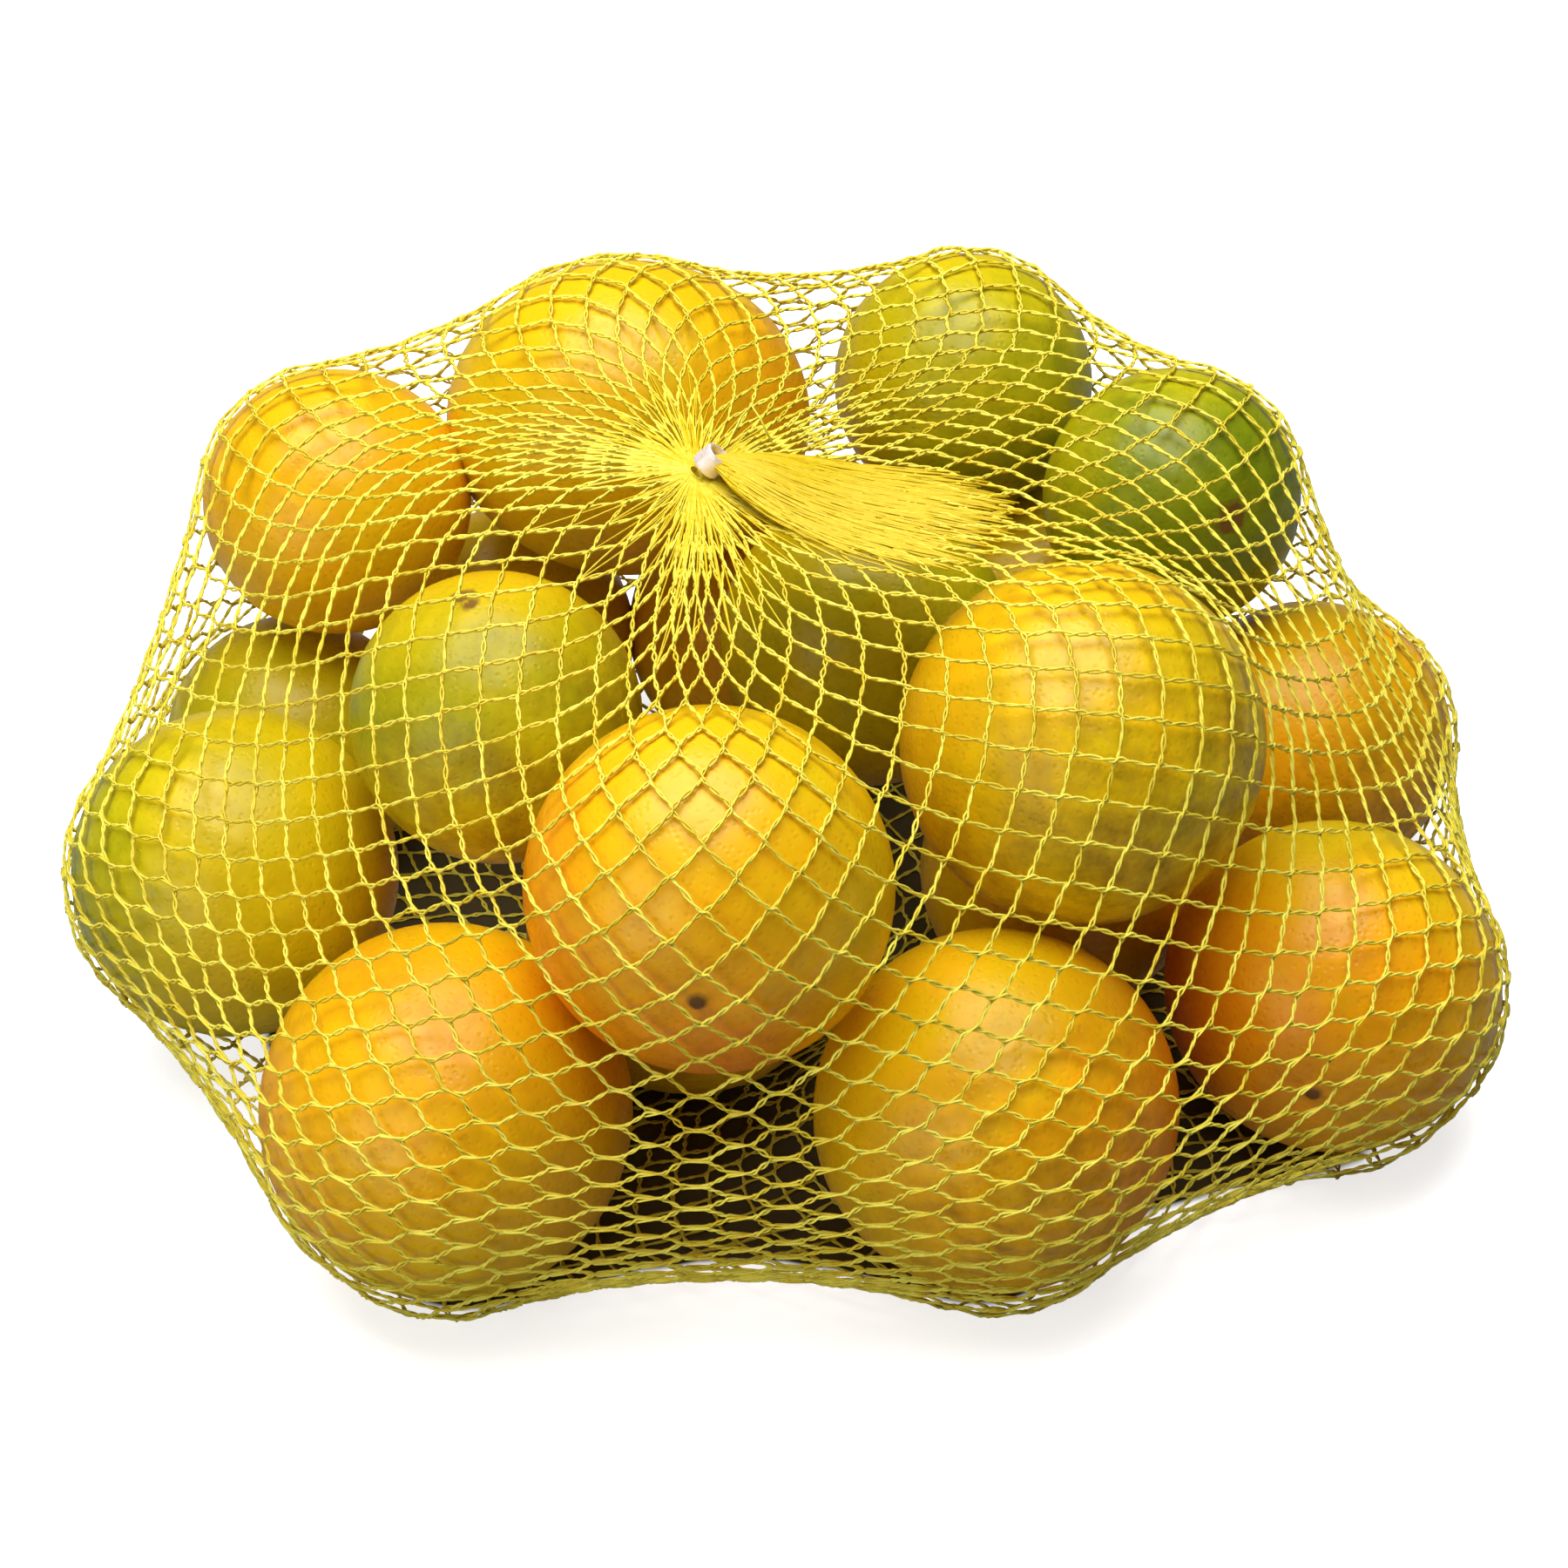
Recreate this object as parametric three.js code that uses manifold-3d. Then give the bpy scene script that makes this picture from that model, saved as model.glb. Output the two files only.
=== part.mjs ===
// A net bag of oranges lying on a table: a knitted tube of yellow net drawn tight over the fruit,
// gathered on top by a crimped metal clip, with the spare net beyond the clip fanned out to the right.
// The bag is one solid: the oranges as they bulge against the net, and between them a skin that lies
// deeper than the net, which is open there. The clip is a second one.
// Millimetres, +Z up, +X to the right of the front, origin on the table under the middle of the bag.

import * as THREE from 'three';
import { mergeVertices } from 'three/addons/utils/BufferGeometryUtils.js';
import Module from 'manifold-3d';

// The oranges as they lie: middle, radius, and height over width for the one that is flattened
const ORANGES = [
  { x: -15, y: -71, z: 96, radius: 37.5 },                 // front centre, on the front pair
  { x: 62, y: -28, z: 99, radius: 38.5 },                  // right shoulder
  { x: -120, y: -11, z: 48, radius: 36 },                  // left end
  { x: -61, y: -10, z: 91, radius: 31.5 },                 // left shoulder
  { x: -70, y: -78, z: 41, radius: 39.5 },                 // front left, on the table
  { x: 44, y: -77, z: 40, radius: 38.5 },                  // front right, on the table
  { x: 118, y: -37, z: 38, radius: 36.5 },                 // right end, on the table
  { x: 122, y: 51, z: 34.5, radius: 33 },                  // right back, on the table
  { x: -102, y: 70, z: 87, radius: 30.5 },                 // back left
  { x: -35, y: 86, z: 101, radius: 41, flatness: 0.88 },   // back centre, tipped to the front
  { x: 42, y: 112, z: 93, radius: 30.5 },                  // back right
  { x: 88, y: 71, z: 89, radius: 30 },                     // right crown
  { x: -112, y: 48, z: 29.5, radius: 28 },                 // left, low
  { x: 18, y: 38, z: 74, radius: 33 },                     // below the clip
  { x: -22, y: -18, z: 38.5, radius: 37 },                 // core, left
  { x: 62, y: 4, z: 36, radius: 32 },                      // core, right
  { x: -52, y: 62, z: 35.5, radius: 34 },                  // rear, left
  { x: 12, y: 92, z: 34.5, radius: 33 },                   // rear, centre
  { x: 76, y: 100, z: 32.5, radius: 31 },                  // rear, right
];
const FLAT_AXIS = new THREE.Vector3(0, 0.643, 0.766);
const ORANGE_DETAIL = 4;

// The net: a tube of diamond cells, as knots in rows from the clip down to the gather underneath
const CELLS_ROUND = 52;
const ROWS = 64;
const STRAND = 9.3;
const STAND_OFF = 0.9;
const UNDER_GATHER = new THREE.Vector3(15, -10, 1);

// The clip, a band squeezed to an oval, and the neck of gathered net that it holds
const CLIP_MIDDLE = new THREE.Vector3(-15, 15, 139.6);
const CLIP_TILT = THREE.MathUtils.degToRad(45);
const CLIP_HEIGHT = 5;
const CLIP_INSIDE = 2.1;
const CLIP_OUTSIDE = 3.1;
const CLIP_SQUEEZE = 0.9;
const CLIP_STEPS = { profile: 16, around: 28 };
const NECK_RADIUS = 1.5;
const NECK_BELOW = 5;
const NECK_RISE = 5.2;
const NECK_STEPS = { along: 14, around: 24 };

// The spare net beyond the clip: the neck bends over and opens to a fan that lies on the bag
const FAN_START = 13;
const FAN_ROOT = 9;
const TAIL_LENGTH = 56;
const TAIL_TURN = THREE.MathUtils.degToRad(-26);
const TAIL_END_WIDTH = 44;
const TAIL_OPENING = 0.8;
const TAIL_THICKNESS = 2.4;
const TAIL_EDGE = 0.5;
const TAIL_BOW = 0.12;
const TAIL_SUNK = 1;
const TAIL_STEPS = { along: 12, across: 8 };

// Settling of the net: pull and push of a strand, size of a step, share of the motion that is kept.
// Near the gathers the strands are limp and don't push, over these numbers of rows.
const SETTLE = { rounds: 1600, pull: 0.03, push: 0.3, step: 0.18, keep: 0.92 };
const LIMP_TOP = 2;
const LIMP_UNDER = 16;
const START_HALF = new THREE.Vector3(170, 145, 90);
const START_MIDDLE = new THREE.Vector3(0, 5, 70);

// The weight of the fruit presses the underside flat: knots lower than LIES are on the table
const LIES = 6;
const LIFTED = 18;

// How far the skin lies under the net between the oranges. It is up with the net near the table, and
// round the clip and the tail out to GATHERED, where the strands are too close to see through.
const DRAWN_IN = 22;
const GATHERED = 28;

const clipAxis = new THREE.Vector3(Math.sin(CLIP_TILT), 0, Math.cos(CLIP_TILT));
const clipAcross = new THREE.Vector3(Math.cos(CLIP_TILT), 0, -Math.sin(CLIP_TILT));
const neckFoot = CLIP_MIDDLE.clone().addScaledVector(clipAxis, -NECK_BELOW);
const tailWay = new THREE.Vector3(Math.cos(TAIL_TURN), Math.sin(TAIL_TURN), 0);
const tailSide = new THREE.Vector3(-tailWay.y, tailWay.x, 0);

// Knots are kept as x, y, z triples in one array, row after row
function knotAt(row, column) {
  const wrapped = (column + CELLS_ROUND) % CELLS_ROUND;
  return (row * CELLS_ROUND + wrapped) * 3;
}

// Odd rows sit half a cell round from even ones, so a knot ties to two knots of the next row
function tiedBelow(row, column) {
  return row % 2 === 0 ? [column - 1, column] : [column, column + 1];
}

// A knot of a drawn-together row, on a small ring round the gather
function gatheredKnot(middle, across, turn) {
  const knot = middle.clone().addScaledVector(across, NECK_RADIUS * Math.cos(turn));
  knot.y += NECK_RADIUS * Math.sin(turn);
  return knot;
}

function looseKnot(row, turn) {
  const fall = Math.PI * (row / ROWS);
  const out = Math.sin(fall);
  const knot = new THREE.Vector3(out * Math.cos(turn), out * Math.sin(turn), Math.cos(fall));
  return knot.multiply(START_HALF).add(START_MIDDLE);
}

// A loose egg of net round the fruit, its first and last rows drawn together
function looseNet() {
  const knots = new Float64Array((ROWS + 1) * CELLS_ROUND * 3);
  const level = new THREE.Vector3(1, 0, 0);
  for (let row = 0; row <= ROWS; row += 1) {
    for (let column = 0; column < CELLS_ROUND; column += 1) {
      const turn = (2 * Math.PI * (column + 0.5 * (row % 2))) / CELLS_ROUND;
      let knot = looseKnot(row, turn);
      if (row === 0) knot = gatheredKnot(neckFoot, clipAcross, turn);
      if (row === ROWS) knot = gatheredKnot(UNDER_GATHER, level, turn);
      knot.toArray(knots, knotAt(row, column));
    }
  }
  return knots;
}

// Each strand pulls its two knots together, hard when it is longer than a taut one
function addStrandForces(knots, forces) {
  for (let row = 0; row < ROWS; row += 1) {
    const push = SETTLE.push * Math.min(1, row / LIMP_TOP, (ROWS - 1 - row) / LIMP_UNDER);
    for (let column = 0; column < CELLS_ROUND; column += 1) {
      const from = knotAt(row, column);
      for (const lower of tiedBelow(row, column)) {
        const to = knotAt(row + 1, lower);
        const reach = [0, 1, 2].map((axis) => knots[to + axis] - knots[from + axis]);
        const length = Math.hypot(...reach);
        const stretch = length - STRAND;
        const hold = SETTLE.pull + (stretch > 0 ? stretch : push * stretch) / length;
        reach.forEach((part, axis) => {
          forces[from + axis] += hold * part;
          forces[to + axis] -= hold * part;
        });
      }
    }
  }
}

// A knot inside an orange moves straight out to just above its peel, and none goes under the table
function pushOut(knot) {
  const offset = new THREE.Vector3();
  for (const { x, y, z, radius, flatness = 1 } of ORANGES) {
    offset.set(knot.x - x, knot.y - y, knot.z - z);
    offset.addScaledVector(FLAT_AXIS, offset.dot(FLAT_AXIS) * (1 / flatness - 1));
    const depth = offset.length();
    if (depth < radius + STAND_OFF) {
      offset.multiplyScalar((radius + STAND_OFF) / depth);
      offset.addScaledVector(FLAT_AXIS, offset.dot(FLAT_AXIS) * (flatness - 1));
      knot.set(x + offset.x, y + offset.y, z + offset.z);
    }
  }
  knot.z = Math.max(knot.z, 0);
}

function settledNet() {
  let before = looseNet();
  let knots = before.slice();
  const forces = new Float64Array(knots.length);
  const knot = new THREE.Vector3();
  for (let round = 0; round < SETTLE.rounds; round += 1) {
    forces.fill(0);
    addStrandForces(knots, forces);
    const after = knots.slice();
    for (let k = knotAt(1, 0); k < knotAt(ROWS, 0); k += 3) {
      for (let axis = k; axis < k + 3; axis += 1) {
        after[axis] += SETTLE.keep * (knots[axis] - before[axis]) + SETTLE.step * forces[axis];
      }
      knot.fromArray(after, k);
      pushOut(knot);
      knot.toArray(after, k);
    }
    before = knots;
    knots = after;
  }
  return knots;
}

function pressUnderside(knots) {
  for (let height = knotAt(ROWS / 2, 0) + 2; height < knots.length; height += 3) {
    if (knots[height] < LIFTED) {
      knots[height] = Math.max(0, knots[height] - LIES) * LIFTED / (LIFTED - LIES);
    }
  }
}

// Distance in plan from the line on which clip and tail lie
function fromTail(knot) {
  const { x, y } = new THREE.Vector3().subVectors(knot, CLIP_MIDDLE);
  const along = THREE.MathUtils.clamp(x * tailWay.x + y * tailWay.y, 0, TAIL_LENGTH);
  return Math.hypot(x - along * tailWay.x, y - along * tailWay.y);
}

// The knots of the skin, each moved in from its place in the net and square to it
function drawnIn(knots) {
  const sunk = knots.slice();
  const place = (row, column) => new THREE.Vector3().fromArray(knots, knotAt(row, column));
  for (let row = 1; row < ROWS; row += 1) {
    for (let column = 0; column < CELLS_ROUND; column += 1) {
      const knot = place(row, column);
      const around = place(row, column + 1).sub(place(row, column - 1));
      const up = place(row - 1, column).sub(place(row + 1, column));
      const out = around.cross(up).normalize();
      const open = THREE.MathUtils.smoothstep(fromTail(knot), GATHERED, 2 * GATHERED);
      const lifted = THREE.MathUtils.smoothstep(knot.z, LIFTED, 3 * LIFTED);
      knot.addScaledVector(out, -DRAWN_IN * open * lifted).toArray(sunk, knotAt(row, column));
    }
  }
  return sunk;
}

// The skin needs every second row of knots only, and those stand straight below each other
function netTriangles() {
  const triangles = [];
  for (let row = 0; row < ROWS; row += 2) {
    for (let column = 0; column < CELLS_ROUND; column += 1) {
      const here = knotAt(row, column) / 3;
      const beside = knotAt(row, column + 1) / 3;
      const below = knotAt(row + 2, column) / 3;
      const across = knotAt(row + 2, column + 1) / 3;
      triangles.push([here, below, across], [here, across, beside]);
    }
  }
  return triangles;
}

function indexedGeometry(places, triangles) {
  const geometry = new THREE.BufferGeometry();
  geometry.setAttribute('position', new THREE.Float32BufferAttribute(places, 3));
  geometry.setIndex(triangles.flat());
  return geometry;
}

// The skin of net, closed across its two gathers
function skinGeometry(knots, triangles) {
  const places = [...knots, ...neckFoot.toArray(), UNDER_GATHER.x, UNDER_GATHER.y, 0];
  const topMiddle = knots.length / 3;
  const underMiddle = topMiddle + 1;
  const caps = [];
  for (let column = 0; column < CELLS_ROUND; column += 1) {
    caps.push([topMiddle, knotAt(0, column) / 3, knotAt(0, column + 1) / 3]);
    caps.push([underMiddle, knotAt(ROWS, column + 1) / 3, knotAt(ROWS, column) / 3]);
  }
  return indexedGeometry(places, [...triangles, ...caps]);
}

// Height of the upper side of the net above a point of the table
function netHeight(knots, triangles, x, y) {
  const plan = new THREE.Triangle();
  const spot = new THREE.Vector3(x, y, 0);
  const weights = new THREE.Vector3();
  let height = 0;
  for (const triangle of triangles) {
    const [a, b, c] = triangle.map((k) => new THREE.Vector3().fromArray(knots, k * 3));
    plan.set(a.clone().setZ(0), b.clone().setZ(0), c.clone().setZ(0));
    if (plan.getBarycoord(spot, weights) && Math.min(weights.x, weights.y, weights.z) >= 0) {
      height = Math.max(height, weights.x * a.z + weights.y * b.z + weights.z * c.z);
    }
  }
  return height;
}

// The neck leaves the clip along its axis and bends over to where the fan starts
function neckGeometry(heightAt) {
  const fanMouth = CLIP_MIDDLE.clone().addScaledVector(tailWay, FAN_START);
  fanMouth.z = heightAt(fanMouth.x, fanMouth.y) + TAIL_THICKNESS / 2;
  const top = CLIP_MIDDLE.clone().addScaledVector(clipAxis, NECK_RISE);
  const bend = CLIP_MIDDLE.clone().addScaledVector(tailWay, FAN_ROOT);
  bend.z = (CLIP_MIDDLE.z + NECK_RISE + fanMouth.z) / 2;
  const foot = neckFoot.clone().addScaledVector(clipAxis, -TAIL_SUNK);
  const extrudePath = new THREE.CatmullRomCurve3([foot, CLIP_MIDDLE, top, bend, fanMouth]);
  const section = new THREE.Shape().absarc(0, 0, NECK_RADIUS, 0, 2 * Math.PI);
  const curveSegments = NECK_STEPS.around / 2;
  const steps = NECK_STEPS.along;
  return new THREE.ExtrudeGeometry(section, { curveSegments, steps, bevelEnabled: false, extrudePath });
}

// Two stacked grids of points joined round their rim
function gridShell(along, across) {
  const layer = (along + 1) * (across + 1);
  const point = (i, j, lower) => lower * layer + i * (across + 1) + j;
  const triangles = [];
  for (let i = 0; i < along; i += 1) {
    for (let j = 0; j < across; j += 1) {
      triangles.push([point(i, j, 0), point(i + 1, j, 0), point(i + 1, j + 1, 0)]);
      triangles.push([point(i, j, 0), point(i + 1, j + 1, 0), point(i, j + 1, 0)]);
      triangles.push([point(i, j, 1), point(i + 1, j + 1, 1), point(i + 1, j, 1)]);
      triangles.push([point(i, j, 1), point(i, j + 1, 1), point(i + 1, j + 1, 1)]);
    }
  }
  const rim = [];
  for (let i = 0; i < along; i += 1) rim.push([i, 0]);
  for (let j = 0; j < across; j += 1) rim.push([along, j]);
  for (let i = along; i > 0; i -= 1) rim.push([i, across]);
  for (let j = across; j > 0; j -= 1) rim.push([0, j]);
  rim.forEach(([i, j], n) => {
    const [nextI, nextJ] = rim[(n + 1) % rim.length];
    triangles.push([point(i, j, 0), point(i, j, 1), point(nextI, nextJ, 1)]);
    triangles.push([point(i, j, 0), point(nextI, nextJ, 1), point(nextI, nextJ, 0)]);
  });
  return triangles;
}

// The fan follows the net that it lies on, sunk a little into it, thickest along its middle
function tailGeometry(heightAt) {
  const { along, across } = TAIL_STEPS;
  const places = [];
  const spot = new THREE.Vector3();
  for (const upper of [true, false]) {
    for (let i = 0; i <= along; i += 1) {
      const reach = FAN_ROOT + (TAIL_LENGTH - FAN_ROOT) * (i / along);
      const opened = Math.pow(i / along, TAIL_OPENING);
      const width = 2 * NECK_RADIUS + (TAIL_END_WIDTH - 2 * NECK_RADIUS) * opened;
      for (let j = 0; j <= across; j += 1) {
        const side = (2 * j) / across - 1;
        spot.copy(CLIP_MIDDLE).addScaledVector(tailWay, reach * (1 - TAIL_BOW * side * side));
        spot.addScaledVector(tailSide, side * width / 2);
        const crown = TAIL_THICKNESS * Math.sqrt(1 - (1 - TAIL_EDGE * TAIL_EDGE) * side * side);
        spot.z = heightAt(spot.x, spot.y) + (upper ? crown : -TAIL_SUNK);
        places.push(...spot.toArray());
      }
    }
  }
  return indexedGeometry(places, gridShell(along, across));
}

// An orange with the net on it
function orangeGeometry({ x, y, z, radius, flatness = 1 }) {
  const geometry = new THREE.IcosahedronGeometry(radius + STAND_OFF, ORANGE_DETAIL);
  const upright = new THREE.Quaternion().setFromUnitVectors(new THREE.Vector3(0, 0, 1), FLAT_AXIS);
  geometry.scale(1, 1, flatness);
  geometry.applyQuaternion(upright);
  return geometry.translate(x, y, z);
}

const wasm = await Module();
wasm.setup();

function toSolid(geometry) {
  const bare = geometry.clone();
  bare.deleteAttribute('normal');
  bare.deleteAttribute('uv');
  const merged = mergeVertices(bare);
  const vertProperties = new Float32Array(merged.getAttribute('position').array);
  const triVerts = new Uint32Array(merged.getIndex().array);
  return new wasm.Manifold(new wasm.Mesh({ numProp: 3, vertProperties, triVerts }));
}

function toGeometry(solid) {
  const { vertProperties, triVerts } = solid.getMesh();
  const geometry = new THREE.BufferGeometry();
  geometry.setAttribute('position', new THREE.BufferAttribute(vertProperties, 3));
  geometry.setIndex(new THREE.BufferAttribute(triVerts, 1));
  geometry.computeVertexNormals();
  return geometry;
}

// Oranges, skin, neck and fan are one solid
function bagGeometry() {
  const knots = settledNet();
  const triangles = netTriangles();
  const heightAt = (x, y) => netHeight(knots, triangles, x, y);
  const neck = toSolid(neckGeometry(heightAt));
  const tail = toSolid(tailGeometry(heightAt));
  pressUnderside(knots);
  const skin = toSolid(skinGeometry(drawnIn(knots), triangles));
  const oranges = ORANGES.map((orange) => toSolid(orangeGeometry(orange)));
  return toGeometry(wasm.Manifold.union([skin, neck, tail, ...oranges]));
}

// The clip's section is a bar with round ends, turned round the neck and squeezed across
function clipGeometry() {
  const { profile: profileSteps, around } = CLIP_STEPS;
  const wall = (CLIP_OUTSIDE - CLIP_INSIDE) / 2;
  const straight = CLIP_HEIGHT / 2 - wall;
  const profile = [];
  for (let i = 0; i <= profileSteps; i += 1) {
    const turn = (2 * Math.PI * (i % profileSteps)) / profileSteps;
    const rise = Math.sin(turn);
    const end = Math.abs(rise) < 1e-6 ? 0 : straight * Math.sign(rise);
    profile.push(new THREE.Vector2(CLIP_INSIDE + wall + wall * Math.cos(turn), end + wall * rise));
  }
  const geometry = new THREE.LatheGeometry(profile, around);
  geometry.rotateX(Math.PI / 2);
  geometry.scale(1 / CLIP_SQUEEZE, CLIP_SQUEEZE, 1);
  return geometry;
}

function namedMesh(name, geometry, look) {
  const mesh = new THREE.Mesh(geometry, new THREE.MeshStandardMaterial(look));
  mesh.name = name;
  return mesh;
}

const netBag = namedMesh('net_bag', bagGeometry(), { color: 0xefd21f, roughness: 0.5, metalness: 0 });
const clip = namedMesh('clip', clipGeometry(), { color: 0xd8d2cc, roughness: 0.3, metalness: 1 });
clip.position.copy(CLIP_MIDDLE);
clip.rotation.y = CLIP_TILT;

const bag = new THREE.Group();
bag.add(netBag, clip);

// The origin goes on the table under the middle of the bag
const box = new THREE.Box3().setFromObject(netBag);
const middle = box.getCenter(new THREE.Vector3());
bag.position.set(-middle.x, -middle.y, -box.min.z);

export default bag;
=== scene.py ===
import math
from dataclasses import dataclass

import bmesh
import bpy
import numpy as np
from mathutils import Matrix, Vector
from mathutils.bvhtree import BVHTree


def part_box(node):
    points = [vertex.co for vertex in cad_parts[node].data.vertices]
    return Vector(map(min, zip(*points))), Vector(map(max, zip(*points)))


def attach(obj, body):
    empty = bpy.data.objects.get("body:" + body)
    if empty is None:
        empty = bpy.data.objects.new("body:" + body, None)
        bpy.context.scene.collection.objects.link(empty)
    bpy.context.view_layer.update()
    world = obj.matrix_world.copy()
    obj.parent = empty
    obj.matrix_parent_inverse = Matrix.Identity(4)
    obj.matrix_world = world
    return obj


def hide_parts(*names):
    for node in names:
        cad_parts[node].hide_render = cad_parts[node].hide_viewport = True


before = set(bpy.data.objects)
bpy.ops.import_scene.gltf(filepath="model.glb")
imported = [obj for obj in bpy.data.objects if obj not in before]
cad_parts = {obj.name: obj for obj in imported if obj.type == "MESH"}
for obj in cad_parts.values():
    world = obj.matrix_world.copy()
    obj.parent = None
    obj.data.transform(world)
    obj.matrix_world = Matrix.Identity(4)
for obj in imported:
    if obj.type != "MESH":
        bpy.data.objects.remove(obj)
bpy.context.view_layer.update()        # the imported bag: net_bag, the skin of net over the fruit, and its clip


# The oranges: juice oranges, green to ripe, no two alike in size or shape, loose in the bag as they
# settled when it was laid down. The first fourteen show through the net. The others lie under those
# and carry them.

MM = 0.001
CLIP_MIDDLE = np.array([-15.0, 15.0, 139.6])    # the bag's own measures have their zero near its middle
VIEW_RISE = math.radians(40)

view_right = np.array([1.0, 0.0, 0.0])
view_up = np.array([0.0, math.sin(VIEW_RISE), math.cos(VIEW_RISE)])
view_near = np.array([0.0, -math.cos(VIEW_RISE), math.sin(VIEW_RISE)])


@dataclass
class Orange:
    name: str
    middle: tuple
    radius: float
    ripe: tuple               # face, left, right, top and low side: 0 is green, 0.5 yellow, 1 deep orange
    stem: tuple = (0.3, 0.2)  # where the stem end is, right and up of the middle, in radii
    stem_shows: bool = False  # else it is on the far side
    flatness: float = 1.0
    scar: tuple = None        # right, up and size, in radii
    russet_and_shade: float = 0.3       # how far its low and right side is darkened brown: real russet mottling and painted shade away from the light


ORANGES = [
    Orange("front_centre", (-15, -71, 96), 37.5, (0.68, 0.87, 0.52, 0.58, 0.93), (-0.05, -0.6), True),
    Orange("right_shoulder", (62, -28, 99), 38.5, (0.56, 0.64, 0.5, 0.62, 0.5), (0.2, -0.3), russet_and_shade=1.0),
    Orange("left_end", (-120, -11, 48), 36, (0.45, 0.18, 0.56, 0.46, 0.4), (-0.4, 0.1)),
    Orange("left_shoulder", (-61, -10, 91), 31.5, (0.3, 0.26, 0.38, 0.6, 0.46), (0.1, 0.4),
           scar=(-0.18, 0.78, 0.2), russet_and_shade=0.9),
    Orange("front_left", (-70, -78, 41), 39.5, (0.72, 0.74, 0.72, 0.7, 0.48), (0.5, -0.2)),
    Orange("front_right", (44, -77, 40), 38.5, (0.68, 0.6, 0.95, 0.62, 0.66), (-0.2, 0.5), russet_and_shade=0.7),
    Orange("right_end", (118, -37, 38), 36.5, (0.8, 1.0, 0.6, 0.46, 0.76), (-0.22, -0.62), True),
    Orange("right_back", (122, 51, 34.5), 33, (0.74, 0.78, 0.68, 0.62, 0.72), (0.6, 0.1), russet_and_shade=0.8),
    Orange("back_left", (-101, 67, 91.3), 30.5, (0.68, 0.66, 0.7, 0.6, 0.7), (0.1, -0.5)),
    Orange("back_centre", (-35.5, 86, 101), 42, (0.6, 0.56, 0.84, 0.54, 0.64), (-0.3, 0.3),
           flatness=0.86),
    Orange("back_right", (42, 112, 93), 30.5, (0.3, 0.42, 0.28, 0.46, 0.2), (0.4, 0.4)),
    Orange("right_crown", (88, 71, 89), 30, (0.16, 0.3, 0.1, 0.34, 0.12), (-0.5, 0.2),
           scar=(0.36, -0.2, 0.24)),
    Orange("left_low", (-113.5, 52.5, 32.5), 30.5, (0.4, 0.4, 0.5, 0.46, 0.4), (0.2, 0.6)),
    Orange("below_clip", (18, 38, 74), 33, (0.34, 0.42, 0.3, 0.42, 0.36), (-0.1, -0.1)),
    Orange("core_left", (-21, -19, 37), 35.5, (0.7, 0.7, 0.6, 0.6, 0.7)),
    Orange("core_right", (62, 4, 36), 32, (0.66, 0.6, 0.7, 0.5, 0.6), (-0.4, 0.3)),
    Orange("rear_left", (-66, 88.5, 36.5), 30.5, (0.5, 0.74, 0.5, 0.6, 0.66), (0.5, 0.5)),
    Orange("rear_centre", (-3, 92.5, 36), 34.5, (0.7, 0.74, 0.64, 0.8, 0.7), (-0.6, 0.1)),
    Orange("rear_right", (62, 100.5, 36), 32.5, (0.6, 0.56, 0.5, 0.4, 0.7), (0.1, 0.2)),
]
FLAT_AXIS = np.array([0.0, 0.643, 0.766])    # along which the flattened orange is pressed

PEEL_AROUND, PEEL_RINGS = 64, 44
CORE_SHORTER = 0.03                          # an orange is this much shorter along its core
LUMP = 0.006                                 # height of one of its lumps, in radii
LUMPS = 5
LUMP_WAVES = (1.5, 3.5)                      # from broad lumps to narrow ones
STEM_DIMPLE, STEM_DIMPLE_WIDTH = 1.6, 7.0    # mm
STEM_BUTTON, STEM_BUTTON_WIDTH = 0.9, 1.9
STEM_BUTTON_EDGE = (0.8, 1.1)                # in its widths, where its side falls off
STEM_COLOUR_EDGE = (1.0, 1.3)                # and where its brown ends
STEM_GROOVES, STEM_GROOVE = 5, 0.35
STEM_GROOVE_FADE = 1.6                       # how quickly the grooves fade away from the dimple's edge
TIP_DIMPLE, TIP_DIMPLE_WIDTH = 0.7, 4.0
SIDES_BLEND = 0.02                           # share that each side has in the ripeness of the others
SCAR_HEART = 0.3                             # share of a scar that is scarred all over
RUSSET_AND_SHADE_EDGE = (-1.1, 0.9)                    # from the side without mottling and painted shade to the one with most of both

clip_low, clip_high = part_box("clip")
clip_place = np.array(clip_low + clip_high) / 2


def placed(points):
    """From the bag's own millimetres to the frame, by way of the clip, which both have."""
    return (points - CLIP_MIDDLE) * MM + clip_place


def unit(vectors):
    return vectors / np.linalg.norm(vectors, axis=-1, keepdims=True)


def seen_at(right, up, far=False):
    """Direction from an orange's middle to the spot that is seen that far right and up of it."""
    near = math.sqrt(1 - right * right - up * up)
    return right * view_right + up * view_up + (-near if far else near) * view_near


def smooth_step(low, high, value):
    t = np.clip((value - low) / (high - low), 0, 1)
    return t * t * (3 - 2 * t)


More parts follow.
